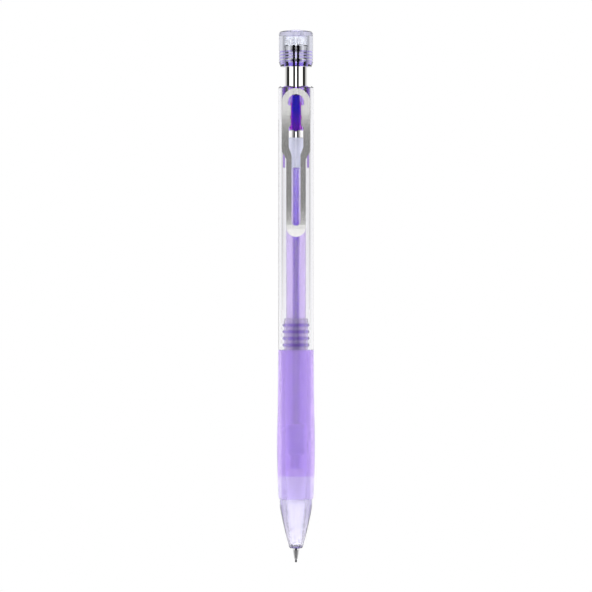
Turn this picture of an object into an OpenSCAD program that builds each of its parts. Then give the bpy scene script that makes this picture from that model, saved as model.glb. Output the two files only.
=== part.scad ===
// Click mechanical pencil for 0.5 mm leads: clear barrel, soft grip, pressed steel clip.
// It is drawn with the lead point at z = 0 and the clip towards +Y, and stand() then turns the clip
// to the front and moves the middle of the grip, where a hand or a holder takes it, to the origin.

/* [Lengths along the axis] */
// Lead that stands out of the metal tip
lead_out = 0.85; // [0.5:0.05:1]
// Metal cone that stands out of the nose
tip_cone_l = 2.95; // [2.8:0.05:3.2]
// Clear nose in front of the grip
nose_l = 13.4; // [13.2:0.1:14]
// Soft grip
grip_l = 40.6; // [40:0.1:44]
// Clear barrel behind the grip
barrel_l = 71.7; // [71.5:0.1:76]
// Bare push tube between the barrel and the cap
knock_gap = 5.4; // [4:0.1:6]
// Push cap
cap_l = 10.1; // [10:0.1:11]
// Thread on the tail of the front section
thread_l = 8.6; // [7:0.1:9]

/* [Diameters] */
// Barrel outside
barrel_d = 9.7; // [9.6:0.1:9.9]
// Barrel inside, over the reservoir
barrel_bore_d = 7.32; // [7.28:0.02:7.4]
// Thickest part of the grip
grip_d = 10.34; // [10:0.02:10.6]
// Core tube under the grip
core_d = 7.8; // [7.7:0.05:7.8]
// Nose where it meets the grip
nose_d = 8.8; // [8.6:0.1:9]
// Push cap outside
cap_d = 9.3; // [9.2:0.1:9.6]
// Push tube outside
knock_d = 6.14; // [6.1:0.02:6.14]
// Cup of the push tube, which holds the eraser
cup_d = 6.5; // [6.46:0.02:6.52]
// Lead reservoir outside
reservoir_d = 5.4; // [5:0.1:5.4]
// Bore that the spare leads lie in
lead_store_d = 1.3; // [1.28:0.02:1.34]
// A 0.5 mm lead, which is really a little thicker
lead_d = 0.56; // [0.54:0.01:0.56]

/* [Clip] */
// Length of the clip
clip_l = 40.2; // [39.8:0.1:40.6]
// Thickness of the steel sheet
clip_t = 0.5; // [0.4:0.05:0.55]
// Width of the ring end
clip_ring_w = 7.7; // [7.4:0.1:7.8]
// Width of the narrow tail
clip_tail_w = 5.28; // [5:0.04:5.4]
// Top of the ring end above the pencil's axis
clip_top = 7.0; // [6.9:0.05:7.1]
// How far the tail lies below the ring end
clip_drop = 1.6; // [1.4:0.05:1.6]

/* [Motion] */
// Travel of the push cap
knock_travel = 2.6; // [2:0.1:2.6]
// Travel of the clutch ring before the nose stops it
clutch_travel = 0.6; // [0.4:0.05:0.8]

/* [Hidden] */
$fn = 96;

slip = 0.05;        // clearance of pieces that slide on each other
seat = 0.02;        // clearance of pieces that are pushed together
through = 1;        // how far a cutting shape reaches past a face
curve_steps = 12;   // straight pieces in a curved outline

// Stations along the axis, from the lead point
z_pipe = lead_out;
z_nose = z_pipe + tip_cone_l;
z_grip = z_nose + nose_l;
z_barrel = z_grip + grip_l;
z_rear = z_barrel + barrel_l;
z_cap = z_rear + knock_gap;
z_top = z_cap + cap_l;
z_thread_end = z_barrel + thread_l;

// Barrel and thread
barrel_r = barrel_d / 2;
bore_r = barrel_bore_d / 2;
rear_bore_r = bore_r + 0.2;
rear_bore_l = 9;
rim_round = 0.3;
thread_relief = 2.4;
thread_bore_r = core_d / 2 - 0.08;
female_depth = 0.16;
male_crest_r = thread_bore_r - 0.07;
male_root_r = male_crest_r - 0.42;
thread_pitch = 1.8;
thread_turns = floor((thread_l - 0.8) / thread_pitch);

// Nose, core tube and the bores inside them
core_r = core_d / 2;
core_bore_r = 2.95;
nose_edge_r = 1.25;
nose_round = 0.72;
nose_bow = 0.1;
nose_shoulder_l = 3.2;
pipe_hole_r = 0.96;
nose_bore_r = 1.45;
nose_cone_r = 1.95;
nose_step_z = z_nose + 5.8;
cavity_front_r = 2.05;
cavity_rear_r = 2.6;
sleeve_seat_z = z_grip + 4.8;

// Grip outline
grip_r = grip_d / 2;
grip_end_r = nose_d / 2 + 0.12;
grip_end_round = 1.8;
grip_land_z = z_grip + 12.3;
grip_land_l = 5;

// Writing mechanism
lead_r = lead_d / 2;
pipe_bore_r = 0.3;
pipe_base_r = 0.925;
pipe_end_r = 0.475;
pipe_flange_z = z_nose + 0.7;
pipe_flange_l = 0.4;
retainer_l = 1.7;
chuck_head_r = 1.2;
chuck_shaft_r = 0.85;
chuck_head_z = z_nose + 6;
chuck_head_l = 0.6;
chuck_taper_l = 1.5;
chuck_tail_z = z_grip + 10.3;
chuck_jaw_l = 3.2;
chuck_tail_bore_r = 0.45;
chuck_slit_w = 0.22;
chuck_slit_l = 9;
ring_z = nose_step_z + clutch_travel;
ring_l = 1.7;
ring_r = 1.6;
sleeve_z = ring_z + ring_l + seat;
sleeve_collar_l = 2.1;
sleeve_front_z = nose_step_z + 0.05;
sleeve_front_r = 1.95;
sleeve_body_r = 2.42;
sleeve_end_z = z_grip + 8.3;
spring_room_r = 1.5;
connector_z = z_grip + 6.3;
connector_nose_r = 1.45;
connector_nose_l = 5.6;
connector_r = 2.3;
reservoir_z = z_grip + 20.4;
spigot_l = 4;
spigot_r = 1.5;
store_r = lead_store_d / 2;

// Return spring
wire_r = 0.15;
spring_r = 1.2;
spring_front = sleeve_z + sleeve_collar_l + seat;
spring_back = connector_z - seat;
spring_open_turns = 5;
spring_turns = spring_open_turns + 2;
spring_steps = 16;
spring_sides = 8;

// Push tube, eraser and cap
knock_r = knock_d / 2;
knock_wall = 0.25;
knock_end_z = z_rear - 14;
cup_r = cup_d / 2;
cup_wall = 0.3;
cup_bead = 0.07;
cup_waist_r = cup_r - 0.12;
cup_z = z_cap + 0.4;
cup_l = 5.3;
cup_floor = 0.2;
eraser_z = cup_z + cup_floor;
eraser_l = 7.6;
cap_r = cap_d / 2;
cap_roof = 1.7;
cap_bore_r = cup_r + slip;
cap_rim_l = 1.2;
cap_rim_in = 0.42;
cap_crown = 0.45;
cap_corner = 0.7;
cap_grooves = 4;
cap_groove_pitch = 0.86;
cap_groove_w = 0.36;
cap_groove_depth = 0.12;
vent_d = 0.6;
vent_off = 1.1;

// Funnel between the push tube and the reservoir
funnel_z = z_rear - 22.1;
funnel_l = 13;
funnel_mouth_r = 2.3;
funnel_cone_l = 4;

// Clip, and the boss that carries it
ring_z0 = z_rear - 4.64;
ring_out_r = clip_ring_w / 2;
ring_in_r = ring_out_r - 1.61;
tail_r = clip_tail_w / 2;
clip_end_z = ring_z0 + ring_out_r - clip_l;
tail_z = clip_end_z + tail_r;
waist_z = tail_z + 18.4;
waist_l = 2.1;
neck_w = 1.42;
neck_z = ring_z0 - 6;
neck_l = 5.2;
slot_w = 1.98;
slot_throat = 0.9;
slot_z = waist_z + 1.1;
slot_end_z = tail_z + 1.6;
slot_end_r = 1.21;
bend_z = ring_z0 - 2.3;
bend_l = 30.5;
flare = 0.02;
pivot_z = neck_z + neck_l / 2;
sleeve_r = rear_bore_r - slip;
sleeve_fork_r = bore_r - 0.08;
sleeve_ring_z = neck_z - 1.45;
sleeve_guide_r = knock_r + slip;
fork_half_h = 0.6;
stem_w = 1.3;
shelf_w = 2;
boss_rod_w = 0.97;
boss_foot_w = 1.75;
boss_lip_w = neck_w + 0.14;
boss_foot_y = barrel_r + 0.1;
boss_shelf_y = clip_top - clip_t - 0.35;
boss_top_y = clip_top + 0.3;
boss_bevel = 0.14;
boss_end_z = ring_z0 + 1.9;

land_mid_z = grip_land_z + grip_land_l / 2;

function mix(a, b, t) = a + (b - a) * t;
function steps(n) = [for (i = [0:n]) i / n];

// Outline points of the grip, front end first, as [radius, z]
function grip_outline() = concat(
    [for (t = steps(6)) [mix(grip_end_r, barrel_r, sin(90 * t)), z_grip + grip_end_round * (1 - cos(90 * t))]],
    [for (t = steps(curve_steps)) if (t > 0)
        [mix(grip_r, barrel_r, pow(1 - t, 1.3)), mix(z_grip + grip_end_round, grip_land_z, t)]],
    [for (t = steps(curve_steps))
        [mix(barrel_r, grip_r, pow(1 - t, 2)), mix(grip_land_z + grip_land_l, z_barrel, t)]]);

// Outline of the nose, front face first, as [radius, z]
function nose_outline() = let (
        cone_r = nose_edge_r + nose_round,
        cone_z = z_nose + nose_round,
        shoulder_r = nose_d / 2 - 0.2,
        shoulder_z = z_grip - nose_shoulder_l)
    concat(
        [for (t = steps(5)) [nose_edge_r + nose_round * sin(90 * t), z_nose + nose_round * (1 - cos(90 * t))]],
        [for (t = steps(8)) if (t > 0)
            [mix(cone_r, shoulder_r, t) + 4 * nose_bow * t * (1 - t), mix(cone_z, shoulder_z, t)]],
        [for (t = steps(4)) if (t > 0)
            [mix(nose_d / 2, shoulder_r, pow(1 - t, 2)), mix(shoulder_z, z_grip - 1.2, t)]]);

// Ridges of the male thread, front first, as [radius, z]
function male_thread() = [for (i = [0:thread_turns - 1])
    let (z = z_barrel + 0.5 + i * thread_pitch)
    for (p = [[0, 0.3], [1, 0.75], [1, 1.0], [0, 1.45]])
        [mix(male_root_r, male_crest_r, p[0]), z + p[1]]];

// Height of the clip's upper face above the axis at a station z
function clip_y(z) = let (t = min(1, max(0, (bend_z - z) / bend_l)), past = max(0, bend_z - bend_l - z))
    clip_top - clip_drop * t * t * (3 - 2 * t) + flare * past * past;

// Revolves an outline of [radius, z] points about the axis
module turned(outline) {
    rotate_extrude() polygon(outline);
}

// A round tube between two stations
module tube(r_out, r_in, z0, z1) {
    difference() {
        translate([0, 0, z0]) cylinder(r = r_out, h = z1 - z0);
        translate([0, 0, z0 - through]) cylinder(r = r_in, h = z1 - z0 + 2 * through);
    }
}

// Extrudes a plan drawn in [x, z] from y0 up to y1
module plate(y0, y1) {
    translate([0, y1, 0]) rotate([90, 0, 0]) linear_extrude(y1 - y0) children();
}

// Stands the pencil tip down, clip to the front, with the middle of the grip's land at the origin
module stand() {
    translate([0, 0, -land_mid_z]) rotate([0, 0, 180]) children();
}

module barrel() {
    color([0.93, 0.93, 0.97, 0.35]) stand() difference() {
        turned([
            [thread_bore_r, z_barrel],
            [barrel_r - 0.05, z_barrel],
            [barrel_r, z_barrel + 0.05],
            [barrel_r, z_rear - rim_round],
            [barrel_r - rim_round, z_rear],
            [rear_bore_r, z_rear],
            [rear_bore_r, z_rear - rear_bore_l],
            [bore_r, z_rear - rear_bore_l],
            [bore_r, z_thread_end + thread_relief],
            [thread_bore_r, z_thread_end + thread_relief]]);
        for (i = [0:thread_turns - 1])
            translate([0, 0, z_barrel + 0.9 + i * thread_pitch])
                tube(thread_bore_r + female_depth, thread_bore_r - 0.5, 0, 0.9);
        plate(0, barrel_r + through) translate([-stem_w - slip, sleeve_ring_z])
            square([2 * (stem_w + slip), z_rear + through - sleeve_ring_z]);
    }
}

// Plan of the boss, from its rod down to its round foot, as half widths
module boss_plan() {
    foot_z = neck_z - 0.85;
    polygon(mirrored(concat([
        [boss_rod_w, boss_end_z],
        [boss_rod_w, ring_z0 + 0.2],
        [1.5, ring_z0 - 0.2],
        [1.5, ring_z0 - 0.55],
        [stem_w, neck_z + neck_l - 0.3],
        [1.15, pivot_z + 0.5],
        [stem_w, pivot_z - 0.2],
        [stem_w, pivot_z - 0.9],
        [1.15, pivot_z - 1.5],
        [stem_w, neck_z],
        [boss_foot_w, foot_z + 0.1]],
        [for (t = steps(8)) if (t < 1) [boss_foot_w * cos(90 * t), foot_z - 0.75 * sin(90 * t)]])));
}

module clip_sleeve() {
    color([0.42, 0.28, 0.75, 0.6]) stand() difference() {
        union() {
            translate([0, 0, z_rear - rear_bore_l + 0.1]) cylinder(r = sleeve_r, h = rear_bore_l - 0.3);
            translate([0, 0, sleeve_ring_z]) cylinder(r = sleeve_fork_r, h = z_rear - sleeve_ring_z - 1);
            intersection() {
                translate([0, 0, funnel_z]) cylinder(r = sleeve_fork_r, h = sleeve_ring_z - funnel_z + 1);
                translate([-barrel_r, -fork_half_h, funnel_z])
                    cube([barrel_d, 2 * fork_half_h, sleeve_ring_z - funnel_z + 1]);
            }
            plate(2, boss_foot_y + slip) translate([-stem_w, sleeve_ring_z + slip])
                square([2 * stem_w, ring_z0 - 0.6 - sleeve_ring_z]);
            plate(2, boss_foot_y + slip) translate([-boss_rod_w, sleeve_ring_z + slip])
                square([2 * boss_rod_w, boss_end_z - sleeve_ring_z - slip]);
            plate(boss_foot_y, boss_shelf_y) translate([-shelf_w, neck_z + 0.4])
                square([2 * shelf_w, neck_l - 0.8]);
            plate(boss_foot_y, boss_top_y - 2 * boss_bevel) boss_plan();
            plate(boss_foot_y, boss_top_y - boss_bevel) offset(delta = -0.4 * boss_bevel) boss_plan();
            plate(boss_foot_y, boss_top_y) offset(delta = -1.4 * boss_bevel) boss_plan();
            plate(clip_top + 0.12, boss_top_y - boss_bevel) translate([-boss_lip_w, pivot_z - 0.95])
                square([2 * boss_lip_w, 0.8]);
        }
        translate([0, 0, funnel_z - through])
            cylinder(r = sleeve_guide_r, h = z_rear - funnel_z + 2 * through);
    }
}

// Right half of an arc about [0, z], as [half width, z] points from angle a to angle b
function half_arc(z, r, a, b) = [for (t = steps(14)) [r * cos(mix(a, b, t)), z + r * sin(mix(a, b, t))]];

// Closes a right-hand outline with its mirror image
function mirrored(right) = concat(right, [for (i = [len(right) - 1:-1:0]) [-right[i][0], right[i][1]]]);

// Plan of the clip: round ring end, shoulders, narrow tail with a round end
module clip_plan() {
    difference() {
        polygon(mirrored(concat(
            half_arc(ring_z0, ring_out_r, 89, 0),
            [[ring_out_r, waist_z + waist_l], [tail_r, waist_z]],
            half_arc(tail_z, tail_r, 0, -89))));
        polygon(mirrored(concat(
            half_arc(ring_z0, ring_in_r, 89, -20),
            [[neck_w, neck_z + neck_l], [neck_w, neck_z], [slot_w, neck_z - slot_throat], [slot_w, slot_z + 2.1],
            [slot_end_r, slot_z]],
            half_arc(slot_end_z, slot_end_r, 0, -89))));
    }
}

module clip() {
    zs = [for (t = steps(30)) mix(clip_end_z - 0.1, bend_z, t)];
    upper = concat([for (z = zs) [clip_y(z), z]], [[clip_top, ring_z0 + ring_out_r + 0.1]]);
    lower = [for (i = [len(upper) - 1:-1:0]) [upper[i][0] - clip_t, upper[i][1]]];
    color([0.72, 0.72, 0.7]) stand() intersection() {
        plate(barrel_r - 1, clip_top + 1) clip_plan();
        translate([-ring_out_r - 1, 0, 0]) rotate([90, 0, 90])
            linear_extrude(clip_ring_w + 2) polygon(concat(upper, lower));
    }
}

module front_section() {
    outline = concat(
        [[pipe_hole_r, z_nose]],
        nose_outline(),
        [[nose_d / 2, z_grip], [core_r, z_grip], [core_r, z_barrel - seat], [male_root_r, z_barrel - seat]],
        male_thread(),
        [[male_root_r, z_thread_end - 0.4], [male_root_r - 0.2, z_thread_end],
        [core_bore_r, z_thread_end], [core_bore_r, sleeve_seat_z],
        [cavity_rear_r, sleeve_seat_z], [cavity_rear_r, z_grip], [cavity_front_r, nose_step_z],
        [nose_cone_r, nose_step_z], [nose_bore_r, pipe_flange_z + pipe_flange_l + seat],
        [nose_bore_r, pipe_flange_z], [pipe_hole_r, pipe_flange_z]]);
    color([0.82, 0.8, 0.93, 0.45]) stand() turned(outline);
}

module grip() {
    color([0.73, 0.64, 0.91, 0.9]) stand() difference() {
        turned(concat([[0, z_grip]], grip_outline(), [[0, z_barrel - seat]]));
        translate([0, 0, z_grip - through]) cylinder(r = core_r + slip, h = grip_l + 2 * through);
    }
}

module lead_pipe() {
    color([0.75, 0.75, 0.77]) stand() turned([
        [pipe_bore_r, z_pipe],
        [pipe_end_r - 0.05, z_pipe],
        [pipe_end_r, z_pipe + 0.05],
        [pipe_base_r, z_nose - 0.45],
        [pipe_base_r, pipe_flange_z],
        [nose_bore_r - slip, pipe_flange_z],
        [nose_bore_r - slip, pipe_flange_z + pipe_flange_l],
        [pipe_bore_r, pipe_flange_z + pipe_flange_l]]);
}

module lead_retainer() {
    z0 = pipe_flange_z + pipe_flange_l + seat;
    color([0.9, 0.9, 0.92]) stand() turned([
        [pipe_bore_r, z0],
        [nose_bore_r - seat, z0],
        [nose_cone_r - seat, nose_step_z - seat],
        [chuck_head_r + slip, nose_step_z - seat],
        [chuck_head_r + slip, z0 + retainer_l],
        [pipe_bore_r, z0 + 0.5]]);
}

module chuck_sleeve() {
    z1 = sleeve_z + sleeve_collar_l;
    color([0.92, 0.92, 0.95]) stand() turned([
        [chuck_shaft_r + slip, sleeve_z],
        [ring_r + slip, sleeve_z],
        [ring_r + slip, sleeve_front_z],
        [sleeve_front_r, sleeve_front_z],
        [sleeve_body_r, z_grip - 0.8],
        [sleeve_body_r, sleeve_seat_z + seat],
        [core_bore_r - slip, sleeve_seat_z + seat],
        [core_bore_r - slip, sleeve_seat_z + 1.3],
        [sleeve_body_r, sleeve_seat_z + 1.3],
        [sleeve_body_r, sleeve_end_z],
        [spring_room_r, sleeve_end_z],
        [spring_room_r, z1],
        [chuck_shaft_r + slip, z1]]);
}

// Height of the wire after a share t of the spring: closed turns at both ends, open turns between
function spring_z(t) = let (
        turn = t * spring_turns,
        shut = 2.2 * wire_r,
        room = spring_back - spring_front - 2 * wire_r - 2 * shut)
    spring_front + wire_r + shut * (min(turn, 1) + max(0, turn - spring_turns + 1))
        + room * min(1, max(0, (turn - 1) / spring_open_turns));

module return_spring() {
    n = spring_turns * spring_steps;
    rings = [for (i = [0:n])
        let (a = 360 * spring_turns * i / n, out = [cos(a), sin(a), 0], z = spring_z(i / n))
        for (k = [0:spring_sides - 1])
            let (b = 360 * k / spring_sides)
            (spring_r + wire_r * cos(b)) * out + [0, 0, z + wire_r * sin(b)]];
    walls = [for (i = [0:n - 1], k = [0:spring_sides - 1])
        let (p = i * spring_sides, j = (k + 1) % spring_sides)
        [p + k, p + spring_sides + k, p + spring_sides + j, p + j]];
    first_cap = [for (k = [0:spring_sides - 1]) k];
    last_cap = [for (k = [spring_sides - 1:-1:0]) n * spring_sides + k];
    color([0.8, 0.8, 0.82]) stand() polyhedron(rings, concat(walls, [first_cap, last_cap]), convexity = 10);
}

module chuck() {
    taper_z = chuck_head_z + chuck_head_l;
    color([0.93, 0.93, 0.9]) stand() difference() {
        turned([
            [lead_r + 0.01, chuck_head_z],
            [chuck_head_r - 0.25, chuck_head_z],
            [chuck_head_r, chuck_head_z + 0.25],
            [chuck_head_r, taper_z],
            [chuck_shaft_r, taper_z + chuck_taper_l],
            [chuck_shaft_r, chuck_tail_z],
            [chuck_tail_bore_r, chuck_tail_z],
            [chuck_tail_bore_r, chuck_head_z + chuck_jaw_l + 0.2],
            [lead_r + 0.01, chuck_head_z + chuck_jaw_l]]);
        for (a = [90, 210, 330])
            rotate([0, 0, a]) translate([0, -chuck_slit_w / 2, chuck_head_z - through])
                cube([chuck_head_r + through, chuck_slit_w, chuck_slit_l + through]);
    }
}

module clutch_ring() {
    taper = (chuck_head_r - chuck_shaft_r) / chuck_taper_l;
    gap = 0.03;
    narrow = ring_z + ring_l - chuck_head_z - chuck_head_l;
    color([0.85, 0.85, 0.87]) stand() turned([
        [chuck_head_r + gap, ring_z],
        [ring_r - 0.15, ring_z],
        [ring_r, ring_z + 0.15],
        [ring_r, ring_z + ring_l],
        [chuck_head_r - taper * narrow + gap, ring_z + ring_l],
        [chuck_head_r + gap, chuck_head_z + chuck_head_l]]);
}

module chuck_connector() {
    shoulder_z = connector_z + connector_nose_l;
    socket_z = reservoir_z - spigot_l - 0.1;
    color([0.75, 0.68, 0.95]) stand() turned([
        [chuck_shaft_r + seat / 2, connector_z],
        [connector_nose_r, connector_z],
        [connector_nose_r, shoulder_z],
        [connector_r, shoulder_z + 0.6],
        [connector_r, reservoir_z - seat],
        [spigot_r + seat, reservoir_z - seat],
        [spigot_r + seat, socket_z],
        [store_r, socket_z],
        [store_r, chuck_tail_z + 0.05],
        [chuck_shaft_r + seat / 2, chuck_tail_z + 0.05]]);
}

module lead_reservoir() {
    color([0.78, 0.7, 0.94, 0.8]) stand() turned([
        [store_r, reservoir_z - spigot_l],
        [spigot_r, reservoir_z - spigot_l],
        [spigot_r, reservoir_z],
        [reservoir_d / 2, reservoir_z],
        [reservoir_d / 2, funnel_z - seat],
        [spigot_r, funnel_z - seat],
        [spigot_r, funnel_z + spigot_l],
        [store_r, funnel_z + spigot_l]]);
}

module lead_funnel() {
    z1 = funnel_z + funnel_l;
    color([0.88, 0.89, 0.95, 0.8]) stand() turned([
        [spigot_r + seat, funnel_z],
        [reservoir_d / 2, funnel_z],
        [reservoir_d / 2, knock_end_z - seat],
        [knock_r - knock_wall - seat, knock_end_z - seat],
        [knock_r - knock_wall - seat, z1],
        [funnel_mouth_r, z1],
        [store_r, z1 - funnel_cone_l],
        [store_r, funnel_z + spigot_l + 0.1],
        [spigot_r + seat, funnel_z + spigot_l + 0.1]]);
}

// One lead: a plain rod of graphite
module lead(x, y, z0, z1) {
    color([0.22, 0.22, 0.24]) stand() translate([x, y, z0]) cylinder(r = lead_r, h = z1 - z0);
}

spare_z0 = chuck_tail_z + 0.1;
spare_l = 60;
spare_off = (lead_d + seat) / sqrt(3);   // three leads that stand together about the axis

module working_lead() {
    lead(0, 0, 0, chuck_tail_z - knock_travel - lead_out - 0.3);
}

module spare_lead_1() {
    lead(spare_off * cos(210), spare_off * sin(210), spare_z0, spare_z0 + spare_l);
}

module spare_lead_2() {
    lead(spare_off * cos(330), spare_off * sin(330), spare_z0, spare_z0 + spare_l);
}

module spare_lead_3() {
    lead(0, spare_off, spare_z0, spare_z0 + spare_l);
}

module knock_tube() {
    color([0.8, 0.8, 0.82]) stand() turned([
        [knock_r - knock_wall, knock_end_z],
        [knock_r, knock_end_z],
        [knock_r, cup_z - 0.3],
        [cup_waist_r, cup_z],
        [cup_waist_r, cup_z + 0.5],
        [cup_waist_r + cup_bead, cup_z + 1.6],
        [cup_waist_r, cup_z + 1.9],
        [cup_waist_r + cup_bead, cup_z + 2.3],
        [cup_waist_r, cup_z + 2.7],
        [cup_waist_r + cup_bead, cup_z + 3.1],
        [cup_waist_r, cup_z + 3.5],
        [cup_r, cup_z + 5.1],
        [cup_r, cup_z + cup_l],
        [cup_r - cup_wall, cup_z + cup_l],
        [cup_r - cup_wall, cup_z + cup_floor],
        [knock_r - knock_wall, cup_z + cup_floor]]);
}

module eraser() {
    r = cup_r - cup_wall - seat;
    z0 = eraser_z + seat;
    z1 = eraser_z + eraser_l;
    color([0.96, 0.96, 0.94]) stand() turned([[0, z0], [r, z0], [r, z1 - 0.3], [r - 0.3, z1], [0, z1]]);
}

// Outline of the cap's top: a rounded corner and a low crown
function cap_crown_outline() = concat(
    [for (t = steps(5)) [cap_r - cap_corner * (1 - cos(90 * t)), z_top - cap_crown - cap_corner * (1 - sin(90 * t))]],
    [for (t = steps(6)) if (t > 0)
        [mix(cap_r - cap_corner, 0, t), z_top - cap_crown + cap_crown * t * (2 - t)]]);

module push_cap() {
    groove_z = z_cap + cap_rim_l + 0.1;
    color([0.86, 0.83, 0.97, 0.4]) stand() difference() {
        turned(concat(
            [[0, z_cap], [cap_r - cap_rim_in, z_cap], [cap_r, z_cap + cap_rim_l]],
            cap_crown_outline()));
        translate([0, 0, z_cap - through]) cylinder(r = cap_bore_r, h = cap_l - cap_roof + through);
        for (i = [0:cap_grooves - 1])
            translate([0, 0, groove_z + i * cap_groove_pitch])
                tube(cap_r + through, cap_r - cap_groove_depth, 0, cap_groove_w);
        translate([-vent_off, 0, z_top - cap_roof - through])
            cylinder(d = vent_d, h = cap_roof + 2 * through);
    }
}

barrel();
clip_sleeve();
chuck_sleeve();
return_spring();
front_section();
grip();
lead_pipe();
lead_retainer();
knock_tube();
lead_funnel();
lead_reservoir();
chuck_connector();
chuck();
spare_lead_1();
spare_lead_2();
spare_lead_3();
clutch_ring();
working_lead();
eraser();
push_cap();
clip();
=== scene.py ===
"""A click mechanical pencil with a clear barrel, upright over a white table, clip to the front."""

import math

import bpy
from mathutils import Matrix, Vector


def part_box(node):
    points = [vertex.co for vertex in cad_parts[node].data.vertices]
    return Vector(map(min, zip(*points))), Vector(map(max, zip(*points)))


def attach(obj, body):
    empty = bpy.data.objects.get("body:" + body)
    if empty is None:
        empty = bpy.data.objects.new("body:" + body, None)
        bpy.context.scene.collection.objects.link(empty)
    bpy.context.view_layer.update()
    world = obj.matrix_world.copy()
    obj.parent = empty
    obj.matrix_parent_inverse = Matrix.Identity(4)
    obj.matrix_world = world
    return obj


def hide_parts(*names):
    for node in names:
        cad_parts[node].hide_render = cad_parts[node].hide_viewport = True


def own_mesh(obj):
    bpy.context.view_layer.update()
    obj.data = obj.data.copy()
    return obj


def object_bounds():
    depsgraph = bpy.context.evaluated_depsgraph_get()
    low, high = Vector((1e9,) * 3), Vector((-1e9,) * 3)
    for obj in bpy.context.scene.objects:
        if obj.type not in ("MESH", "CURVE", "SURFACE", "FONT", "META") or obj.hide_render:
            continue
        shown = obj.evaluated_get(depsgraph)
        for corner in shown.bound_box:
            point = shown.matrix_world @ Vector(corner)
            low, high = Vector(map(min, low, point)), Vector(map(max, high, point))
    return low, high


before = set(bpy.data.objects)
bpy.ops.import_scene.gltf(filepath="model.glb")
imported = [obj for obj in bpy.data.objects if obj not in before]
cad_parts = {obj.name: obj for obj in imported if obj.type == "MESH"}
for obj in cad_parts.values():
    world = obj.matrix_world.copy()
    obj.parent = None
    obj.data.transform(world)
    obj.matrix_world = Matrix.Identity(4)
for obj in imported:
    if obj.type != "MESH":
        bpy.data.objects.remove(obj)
cad_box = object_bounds()

MM = 0.001

# ---------------------------------------------------------------- places, in metres

# From the frame
low, high = (Vector(corner) for corner in cad_box)
length = high.z - low.z
barrel_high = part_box("barrel")[1]
nose_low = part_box("front_section")[0]
grip_low, grip_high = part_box("grip")
cap_low, cap_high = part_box("push_cap")
clip_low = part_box("clip")[0]
reservoir_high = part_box("lead_reservoir")[1]
spring_low, spring_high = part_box("return_spring")

# Radii
THREAD_CREST = 3.75 * MM
INSIDE_RESERVOIR = 0.75 * MM
NOSE_BORE_FRONT = 1.7 * MM
NOSE_BORE_REAR = 2.1 * MM
# What the nose's bore gains in radius behind its step
NOSE_BORE_STEP = 0.9 * MM
SPRING_COIL = 1.2 * MM
SPRING_WIRE = 0.15 * MM

# Distances along the pencil
NOSE_STEP = low.z + 9.6 * MM
BOSS_FADE_LOW = low.z + 118 * MM
BOSS_FADE_HIGH = low.z + 123 * MM
GRIP_FRONT = 6.3 * MM

# Half width of the boss where its deep core ends
BOSS_CORE = 1.05 * MM

# ---------------------------------------------------------------- node helpers


class Tree:
    """A node tree, with short ways to add the nodes used here."""

    def __init__(self, node_tree):
        self.nodes = node_tree.nodes
        self.links = node_tree.links

    def fill(self, slot, value):
        """Gives a socket a colour, a number or a link."""
        if isinstance(value, tuple):
            slot.default_value = (*value, 1)
        elif isinstance(value, (int, float)):
            slot.default_value = value
        else:
            self.links.new(value, slot)

    def split(self, vector):
        """X, Y and Z of a vector."""
        node = self.nodes.new("ShaderNodeSeparateXYZ")
        self.links.new(vector, node.inputs[0])
        return node.outputs

    def math(self, operation, *values):
        node = self.nodes.new("ShaderNodeMath")
        node.operation = operation
        for slot, value in zip(node.inputs, values):
            self.fill(slot, value)
        return node.outputs[0]

    def times(self, a, b):
        return self.math("MULTIPLY", a, b)

    def above(self, value, limit):
        """1 where value is more than limit, and 0 elsewhere."""
        return self.math("GREATER_THAN", value, limit)

    def under(self, value, limit):
        """1 where value is less than limit, and 0 elsewhere."""
        return self.math("LESS_THAN", value, limit)

    def near(self, value, middle, reach):
        """1 where value is within reach of middle, and 0 elsewhere."""
        return self.math("COMPARE", value, middle, reach)

    def span(self, value, a, b, to_a, to_b, smooth=False):
        """Maps value from a..b to to_a..to_b, held at the ends."""
        node = self.nodes.new("ShaderNodeMapRange")
        node.interpolation_type = "SMOOTHSTEP" if smooth else "LINEAR"
        for slot, number in zip(list(node.inputs)[1:5], (a, b, to_a, to_b)):
            slot.default_value = number
        self.links.new(value, node.inputs[0])
        return node.outputs[0]

    def choose(self, mask, off, on):
        """The number off where mask is 0, and on where it is 1."""
        return self.span(mask, 0, 1, off, on)

    def ramp(self, value, stops):
        """Colour ramp: stops are (position, (r, g, b))."""
        node = self.nodes.new("ShaderNodeValToRGB")
        elements = node.color_ramp.elements
        while len(elements) < len(stops):
            elements.new(0.5)
        for element, (place, color) in zip(elements, stops):
            element.position = place
            element.color = (*color, 1)
        self.links.new(value, node.inputs[0])
        return node.outputs[0]

    def tones(self, noise, dark, light, spread=0.4):
        """Runs from dark to light over the middle spread of a noise."""
        return self.ramp(noise, [(0.5 - spread / 2, dark), (0.5 + spread / 2, light)])

    def mix(self, factor, a, b):
        """Colour a where factor is 0, and b where it is 1."""
        node = self.nodes.new("ShaderNodeMix")
        node.data_type = "RGBA"
        for slot, value in zip((node.inputs[0], node.inputs[6], node.inputs[7]), (factor, a, b)):
            self.fill(slot, value)
        return node.outputs[2]


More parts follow.
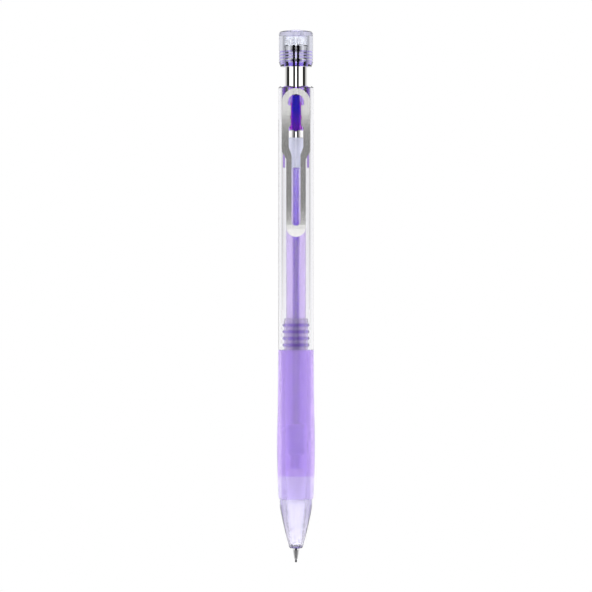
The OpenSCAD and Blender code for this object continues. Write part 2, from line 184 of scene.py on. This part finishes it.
class Shader(Tree):
    """A material's node tree, with its Principled shader."""

    def __init__(self, name, **values):
        """values are constants on the shader, by socket name with _ for a space."""
        self.material = bpy.data.materials.new(name)
        self.material.use_nodes = True
        super().__init__(self.material.node_tree)
        self.bsdf = self.nodes["Principled BSDF"]
        self.output = self.nodes["Material Output"]
        self.coords = self.nodes.new("ShaderNodeTexCoord").outputs
        for socket, value in values.items():
            self.bsdf.inputs[socket.replace("_", " ")].default_value = value

    def put(self, value, socket):
        self.links.new(value, self.bsdf.inputs[socket])

    def paint(self, color):
        """Sets the colour, and keeps it so that another can be mixed over it."""
        self.color = color
        self.put(color, "Base Color")

    def axes(self):
        """Object X, Y and Z."""
        return self.split(self.coords["Object"])

    def normal(self):
        """X, Y and Z of the direction that the surface faces."""
        return self.split(self.coords["Normal"])

    def radius(self):
        """Distance from the pencil's axis."""
        x, y, _ = self.axes()
        return self.math("SQRT", self.math("ADD", self.times(x, x), self.times(y, y)))

    def noise(self, size, detail=3.0, stretch=(1, 1, 1), rough=0.55):
        """Noise whose blotches are about size millimetres across, stretched along an axis."""
        mapping = self.nodes.new("ShaderNodeMapping")
        mapping.inputs["Scale"].default_value = [1 / (size * MM * s) for s in stretch]
        self.links.new(self.coords["Object"], mapping.inputs["Vector"])
        node = self.nodes.new("ShaderNodeTexNoise")
        node.inputs["Scale"].default_value = 1.0
        node.inputs["Detail"].default_value = detail
        node.inputs["Roughness"].default_value = rough
        self.links.new(mapping.outputs[0], node.inputs["Vector"])
        return node.outputs["Fac"]

    def bump(self, height, depth):
        """Raises the surface by height times depth millimetres."""
        node = self.nodes.new("ShaderNodeBump")
        node.inputs["Strength"].default_value = 1.0
        node.inputs["Distance"].default_value = depth * MM
        self.links.new(height, node.inputs["Height"])
        self.put(node.outputs[0], "Normal")

    def absorb(self, per_mm):
        """Tints the inside: per_mm is how strongly each colour is absorbed along a millimetre."""
        node = self.nodes.new("ShaderNodeVolumeAbsorption")
        density = max(per_mm) * 1.02
        node.inputs["Color"].default_value = (*(1 - a / density for a in per_mm), 1)
        node.inputs["Density"].default_value = density / MM
        self.links.new(node.outputs[0], self.output.inputs["Volume"])


# ---------------------------------------------------------------- clear plastics


def clear_plastic(name, roughness, per_mm):
    """Moulded clear plastic, with waves for the slight ripple in its surface."""
    s = Shader(name, Transmission_Weight=1.0, IOR=1.49, Roughness=roughness)
    s.absorb(per_mm)
    s.waves = s.noise(6, detail=1, stretch=(1, 1, 5))
    return s


BARREL_TINT = (0.985, 0.985, 0.995)
NOSE_TINT = (0.97, 0.965, 0.985)
CAP_TINT = (0.80, 0.82, 0.84)
VIOLET_TINT = (0.86, 0.78, 0.97)

# The barrel has faint flow marks in its tint.
barrel = clear_plastic("clear_barrel", 0.0, (0.010, 0.012, 0.004))
flow = barrel.noise(9, detail=2, stretch=(1, 1, 4))
barrel.paint(barrel.tones(flow, tuple(c * 0.985 for c in BARREL_TINT), BARREL_TINT))
barrel.bump(barrel.waves, 0.001)

# The clip sleeve is a thin violet wall, but its boss outside the barrel is thick and deep violet,
# bluer at its top and redder towards its lower flange. The boss's sides are painted magenta:
# partly the thinner plastic there, partly a painted rim highlight.
violet = clear_plastic("violet_clear", 0.03, (0.50, 0.78, 0.12))
x, _, z = violet.axes()
outside = violet.above(violet.radius(), barrel_high.x)
boss_rise = violet.span(z, BOSS_FADE_LOW, BOSS_FADE_HIGH, 0, 1)
boss_core = violet.mix(boss_rise, (0.12, 0.001, 0.46), (0.012, 0.0002, 0.48))
thin_side_and_rim_highlight = violet.above(violet.math("ABSOLUTE", x), BOSS_CORE)
boss_color = violet.mix(thin_side_and_rim_highlight, boss_core, (0.50, 0.07, 0.54))
violet.paint(violet.mix(outside, VIOLET_TINT, boss_color))
violet.put(violet.choose(outside, 0.03, 0.15), "Roughness")
violet.put(violet.choose(outside, 1.0, 0.72), "Transmission Weight")
# The boss's surface is tilted down a little, and mirrors a darker part of the room.
lean = violet.times(outside, violet.times(z, 0.08 / MM))
violet.bump(violet.math("ADD", lean, violet.times(violet.waves, 0.002)), 1.0)

# The ridges, the rim and the crown of the cap gather its violet.
cap = clear_plastic("clear_cap", 0.01, (0.030, 0.034, 0.010))
z = cap.axes()[2]
groove = cap.near(cap.radius(), cap_high.x - 0.13 * MM, 0.09 * MM)
ribbed = cap.near(z, cap_low.z + 3.0 * MM, 1.75 * MM)
crown = cap.above(z, cap_high.z - 0.42 * MM)
rim = cap.under(z, cap_low.z + 1.15 * MM)
gathered = cap.math("MAXIMUM", cap.times(groove, ribbed), cap.math("MAXIMUM", crown, rim))
cap.paint(cap.mix(gathered, CAP_TINT, (0.50, 0.42, 0.88)))
cap.bump(cap.waves, 0.001)

# The front rim of the nose and the thread's crests, behind the grip, gather violet too.
nose = clear_plastic("clear_nose", 0.03, (0.065, 0.078, 0.016))
z = nose.axes()[2]
near_rim = nose.span(z, nose_low.z + 0.3 * MM, nose_low.z + 0.8 * MM, 1, 0, smooth=True)
nose_color = nose.mix(near_rim, NOSE_TINT, (0.42, 0.34, 0.80))
near_crest = nose.near(nose.radius(), THREAD_CREST - 0.10 * MM, 0.14 * MM)
tail_color = nose.mix(near_crest, (0.93, 0.87, 1.0), (0.47, 0.30, 0.95))
in_tail = nose.above(z, grip_high.z)
nose.paint(nose.mix(in_tail, nose_color, tail_color))
nose.put(nose.choose(in_tail, 1.0, 0.88), "Transmission Weight")
nose.bump(nose.waves, 0.001)

# The nose is polished outside, but its bore is left matt from the core pin.
bore_cone = nose.span(z, nose_low.z + 1.0 * MM, NOSE_STEP, NOSE_BORE_FRONT, NOSE_BORE_REAR)
bore_step = nose.span(z, NOSE_STEP - 0.1 * MM, NOSE_STEP + 0.1 * MM, 0, NOSE_BORE_STEP)
in_bore = nose.under(nose.radius(), nose.math("ADD", bore_cone, bore_step))
in_nose = nose.under(z, grip_low.z)
nose.put(nose.choose(nose.times(in_bore, in_nose), 0.03, 0.4), "Roughness")

# ---------------------------------------------------------------- milky plastics


def milky_plastic(name, clearness, roughness, grain, depth, ior=1.46):
    """Clouded plastic: part of the light goes through it, and its pigment scatters the rest."""
    s = Shader(name, Transmission_Weight=clearness, IOR=ior, Roughness=roughness)
    s.cloud = s.noise(grain, stretch=(1, 1, 2))
    s.bump(s.cloud, depth)
    return s


# The reservoir is painted paler towards its upper end, under the clip: painted light against the
# clip's shadow. It is deeper at its bore, around the leads.
lavender = milky_plastic("lavender_tube", 0.75, 0.20, 5, 0.001)
painted_light_rise = lavender.span(lavender.axes()[2], clip_low.z, reservoir_high.z, 0, 1)
tube_color_with_painted_light = lavender.ramp(painted_light_rise, [
    (0, (0.75, 0.61, 0.99)), (0.25, (0.85, 0.74, 1.0)), (1, (0.86, 0.84, 1.0))])
at_bore = lavender.under(lavender.radius(), INSIDE_RESERVOIR)
lavender.paint(lavender.mix(at_bore, tube_color_with_painted_light, (0.28, 0.07, 0.97)))
lavender.put(lavender.choose(at_bore, 0.75, 0.62), "Transmission Weight")

funnel = milky_plastic("milky_funnel", 0.35, 0.35, 4, 0.001)
funnel.paint(funnel.tones(funnel.cloud, (0.79, 0.81, 0.95), (0.82, 0.84, 0.98)))

# The grip's front end lies over the solid plastic of the nose, and its colour is painted lighter
# there: painted light for the nose showing through.
grip = milky_plastic("soft_grip", 0.86, 0.25, 2.5, 0.004, ior=1.42)
grip_color = grip.tones(grip.cloud, (0.66, 0.50, 0.96), (0.70, 0.54, 0.99))
painted_light_front_end = grip.under(grip.axes()[2], grip_low.z + GRIP_FRONT)
grip.paint(grip.mix(painted_light_front_end, grip_color, (0.79, 0.70, 1.0)))

plug = milky_plastic("violet_plug", 0.35, 0.35, 2, 0.001)
plug.paint(plug.tones(plug.cloud, (0.52, 0.42, 0.90), (0.58, 0.48, 0.94)))

# ---------------------------------------------------------------- metals


def metal(name, dark, light, roughness, grain, stretch, depth):
    """Bare metal with drawn or turned streaks in its colour, gloss and surface."""
    s = Shader(name, Metallic=1.0)
    streaks = s.noise(grain, detail=4, stretch=stretch, rough=0.6)
    s.paint(s.tones(streaks, dark, light))
    s.put(s.span(streaks, 0.3, 0.7, roughness * 1.15, roughness * 0.85), "Roughness")
    s.bump(streaks, depth)
    return s


DRAWN = (1, 1, 60)
POLISHED = (1, 1, 40)
TURNED = (12, 12, 1)
GROUND = (14, 14, 1)
COILED = (8, 8, 1)

clip_steel = metal(
    "clip_steel", (0.63, 0.625, 0.62), (0.71, 0.705, 0.70), 0.24, 0.12, DRAWN, 0.0006)
tip_metal = metal(
    "tip_metal", (0.72, 0.72, 0.73), (0.80, 0.80, 0.81), 0.10, 0.08, TURNED, 0.0004)
chrome = metal(
    "tube_chrome", (0.84, 0.825, 0.81), (0.88, 0.87, 0.855), 0.02, 0.3, POLISHED, 0.00005)
ring_steel = metal(
    "ring_steel", (0.58, 0.58, 0.60), (0.66, 0.66, 0.68), 0.25, 0.06, GROUND, 0.0006)
wire = metal(
    "spring_steel", (0.52, 0.52, 0.54), (0.62, 0.62, 0.64), 0.22, 0.1, COILED, 0.0004)

# Where the clip's faces turn sideways, along its sheared edges, its colour is painted darker:
# painted shade for faces turned away from the light.
sideways = clip_steel.math("ABSOLUTE", clip_steel.normal()[0])
painted_edge_shade = clip_steel.span(sideways, 0.55, 0.75, 0, 1)
clip_steel.paint(clip_steel.mix(painted_edge_shade, clip_steel.color, (0.34, 0.34, 0.35)))

# ---------------------------------------------------------------- opaque plastics and graphite

acetal = Shader(
    "white_acetal", Roughness=0.4, IOR=1.48,
    Subsurface_Weight=0.2, Subsurface_Radius=(1.0, 1.0, 1.0), Subsurface_Scale=0.0006)
acetal.paint(acetal.tones(acetal.noise(1.5), (0.92, 0.93, 0.92), (0.95, 0.96, 0.95)))

silicone = Shader(
    "retainer_silicone", Roughness=0.6,
    Subsurface_Weight=0.3, Subsurface_Radius=(1.0, 1.0, 1.0), Subsurface_Scale=0.0006)
silicone.paint(silicone.tones(silicone.noise(0.3), (0.88, 0.88, 0.90), (0.93, 0.93, 0.95)))

graphite = Shader("graphite", Roughness=0.38, Metallic=0.3)
grain = graphite.noise(0.08, detail=4, stretch=(1, 1, 6))
graphite.paint(graphite.tones(grain, (0.030, 0.030, 0.034), (0.060, 0.060, 0.066)))
graphite.bump(grain, 0.004)

eraser = Shader(
    "white_eraser", Roughness=0.65,
    Subsurface_Weight=0.25, Subsurface_Radius=(1.0, 0.95, 0.9), Subsurface_Scale=0.001)
crumb = eraser.noise(0.25, detail=5)
eraser.paint(eraser.tones(crumb, (0.92, 0.92, 0.90), (0.97, 0.97, 0.96), spread=0.5))
eraser.bump(crumb, 0.01)

# ---------------------------------------------------------------- finishes on the CAD nodes

FINISHES = {
    "barrel": barrel,
    "clip_sleeve": violet,
    "chuck_sleeve": acetal,
    "return_spring": wire,
    "front_section": nose,
    "grip": grip,
    "lead_pipe": tip_metal,
    "lead_retainer": silicone,
    "knock_tube": chrome,
    "lead_funnel": funnel,
    "lead_reservoir": lavender,
    "chuck_connector": plug,
    "chuck": acetal,
    "spare_lead_1": graphite,
    "spare_lead_2": graphite,
    "spare_lead_3": graphite,
    "clutch_ring": ring_steel,
    "working_lead": graphite,
    "eraser": eraser,
    "push_cap": cap,
    "clip": clip_steel,
}
for node, finish in FINISHES.items():
    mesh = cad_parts[node].data
    mesh.materials.clear()
    mesh.materials.append(finish.material)

# ---------------------------------------------------------------- return spring


def coil_spring(name, bottom, top, coil_radius, wire_radius, open_turns, shut_turns=1):
    """A compression spring with closed ends, as one swept wire around the pencil's axis."""
    per_turn, sides = 40, 12
    turns = open_turns + 2 * shut_turns
    shut = 2.1 * wire_radius
    room = top - bottom - 2 * wire_radius - 2 * shut * shut_turns
    count = turns * per_turn
    verts, faces = [], []
    for i in range(count + 1):
        turn = i / per_turn
        opened = min(1, max(0, (turn - shut_turns) / open_turns))
        closed = min(turn, shut_turns) + max(0, turn - shut_turns - open_turns)
        z = bottom + wire_radius + shut * closed + room * opened
        angle = 2 * math.pi * turn
        for k in range(sides):
            around = 2 * math.pi * k / sides
            r = coil_radius + wire_radius * math.cos(around)
            rise = wire_radius * math.sin(around)
            verts.append((r * math.cos(angle), r * math.sin(angle), z + rise))
    for i in range(count):
        for k in range(sides):
            a, b = i * sides + k, i * sides + (k + 1) % sides
            faces.append((a, a + sides, b + sides, b))
    faces.append(tuple(range(sides)))
    faces.append(tuple(count * sides + k for k in reversed(range(sides))))
    mesh = bpy.data.meshes.new(name)
    mesh.from_pydata(verts, [], faces)
    mesh.polygons.foreach_set("use_smooth", [True] * len(mesh.polygons))
    spring = bpy.data.objects.new(name, mesh)
    bpy.context.scene.collection.objects.link(spring)
    return spring


spring = coil_spring(
    "return_spring_wire", spring_low.z, spring_high.z, SPRING_COIL, SPRING_WIRE, open_turns=5)
spring.data.materials.append(wire.material)
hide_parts("return_spring")
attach(spring, "barrel_body")
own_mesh(spring)

# ---------------------------------------------------------------- table and camera

TABLE_RADIUS = 0.35
TABLE_DROP = 0.25
VIEW_WIDTH = 1.1119 * length
CAMERA_OUT = 1.0
SENSOR = 36.0

bpy.ops.mesh.primitive_circle_add(
    vertices=96, radius=TABLE_RADIUS, fill_type="NGON", location=(0, 0, low.z - TABLE_DROP))
table = bpy.context.object
table.name = "table"
white = Shader(
    "white_table", Roughness=0.9, Specular_IOR_Level=0.1,
    Emission_Color=(1, 1, 1, 1), Emission_Strength=0.5)
white.paint(white.tones(white.noise(40), (0.78, 0.78, 0.78), (0.80, 0.80, 0.80)))
table.data.materials.append(white.material)

camera_data = bpy.data.cameras.new("camera")
camera_data.sensor_width = SENSOR
camera_data.lens = SENSOR * CAMERA_OUT / VIEW_WIDTH
camera_data.clip_end = 10
camera = bpy.data.objects.new("camera", camera_data)
camera.location = (0, -CAMERA_OUT, (low.z + high.z) / 2)
camera.rotation_euler = (math.pi / 2, 0, 0)
bpy.context.scene.collection.objects.link(camera)
bpy.context.scene.camera = camera
bpy.context.scene.view_settings.view_transform = "Standard"

# ---------------------------------------------------------------- light

# Brightness of the room by angle from the camera's side, in degrees, alike left and right
WALLS = [
    (0, 1.95), (7, 1.95), (8.5, 0), (28, 0), (30, 1.3), (72, 1.3),
    (75, 0), (103, 0), (107, 0.4), (125, 0.63), (145, 1)]
# The same lower down, where no chrome needs flags at the sides
LOW_WALLS = [
    (0, 1.95), (7, 1.95), (8.5, 0), (28, 0), (30, 1.3), (72, 1.3), (80, 0.9), (145, 1)]
# Share of WALLS against LOW_WALLS, by the upward part of a direction
HIGH_SHARE = [(-0.02, 0), (0.015, 1)]
# Brightness on the camera's side by the upward part of a direction, and that of the lower room
AHEAD = [
    (-0.25, 1), (-0.2, 0.1), (-0.08, 0.1), (-0.035, 0),
    (0.02, 0.3), (0.05, 1), (0.12, 1), (0.2, 0.85)]
UNDER = [(-0.34, 0.3), (-0.28, 1)]
# Where AHEAD holds, and where UNDER doesn't, by the part of a direction towards the camera
FRONT = [(0.5, 0), (0.85, 1)]
BEHIND = [(-0.1, 1), (0.15, 0)]
# How much brighter the room is for light that matt surfaces scatter than for what clear ones show
MATT_GAIN = 2.75


def studio():
    """A soft white room with dark flags near the camera, and plain white behind the object."""
    world = bpy.data.worlds.new("studio")
    bpy.context.scene.world = world
    world.use_nodes = True
    world.cycles.sampling_method = "NONE"
    tree = Tree(world.node_tree)
    background = tree.nodes["Background"]
    coords = tree.nodes.new("ShaderNodeTexCoord")
    seen = tree.nodes.new("ShaderNodeLightPath").outputs

    def levels(value, stops, reach=1):
        """Brightness by a value between -reach and reach: stops are (value, brightness)."""
        place = tree.span(value, -reach, reach, 0, 1)
        return tree.ramp(place, [
            ((at + reach) / (2 * reach), (level,) * 3) for at, level in stops])

    def both_sides(walls):
        stops = [(side * math.radians(angle), level)
                 for side in (-1, 1)
                 for angle, level in (walls[::-1] if side < 0 else walls)]
        return levels(around, stops, reach=math.pi)

    x, y, z = tree.split(coords.outputs["Generated"])
    toward = tree.times(y, -1)
    around = tree.math("ARCTAN2", x, toward)
    scattered = tree.math("MINIMUM", seen["Diffuse Depth"], 1)
    gain = tree.math("ADD", 1, tree.times(scattered, MATT_GAIN - 1))

    high_share = levels(z, HIGH_SHARE)
    low_share = tree.math("SUBTRACT", 1, high_share)
    high_walls = tree.times(high_share, both_sides(WALLS))
    low_walls = tree.times(low_share, both_sides(LOW_WALLS))
    walls = tree.math("ADD", high_walls, low_walls)

    front = levels(toward, FRONT)
    flags = tree.math(
        "ADD", tree.times(levels(z, AHEAD), front), tree.math("SUBTRACT", 1, front))
    below = tree.math("MAXIMUM", levels(z, UNDER), levels(toward, BEHIND))
    shade = tree.math("MAXIMUM", tree.times(flags, below), scattered)
    room = tree.times(tree.times(walls, shade), gain)
    total = tree.math("MAXIMUM", room, seen["Is Camera Ray"])
    tree.links.new(total, background.inputs["Color"])
    background.inputs["Strength"].default_value = 1.0


studio()
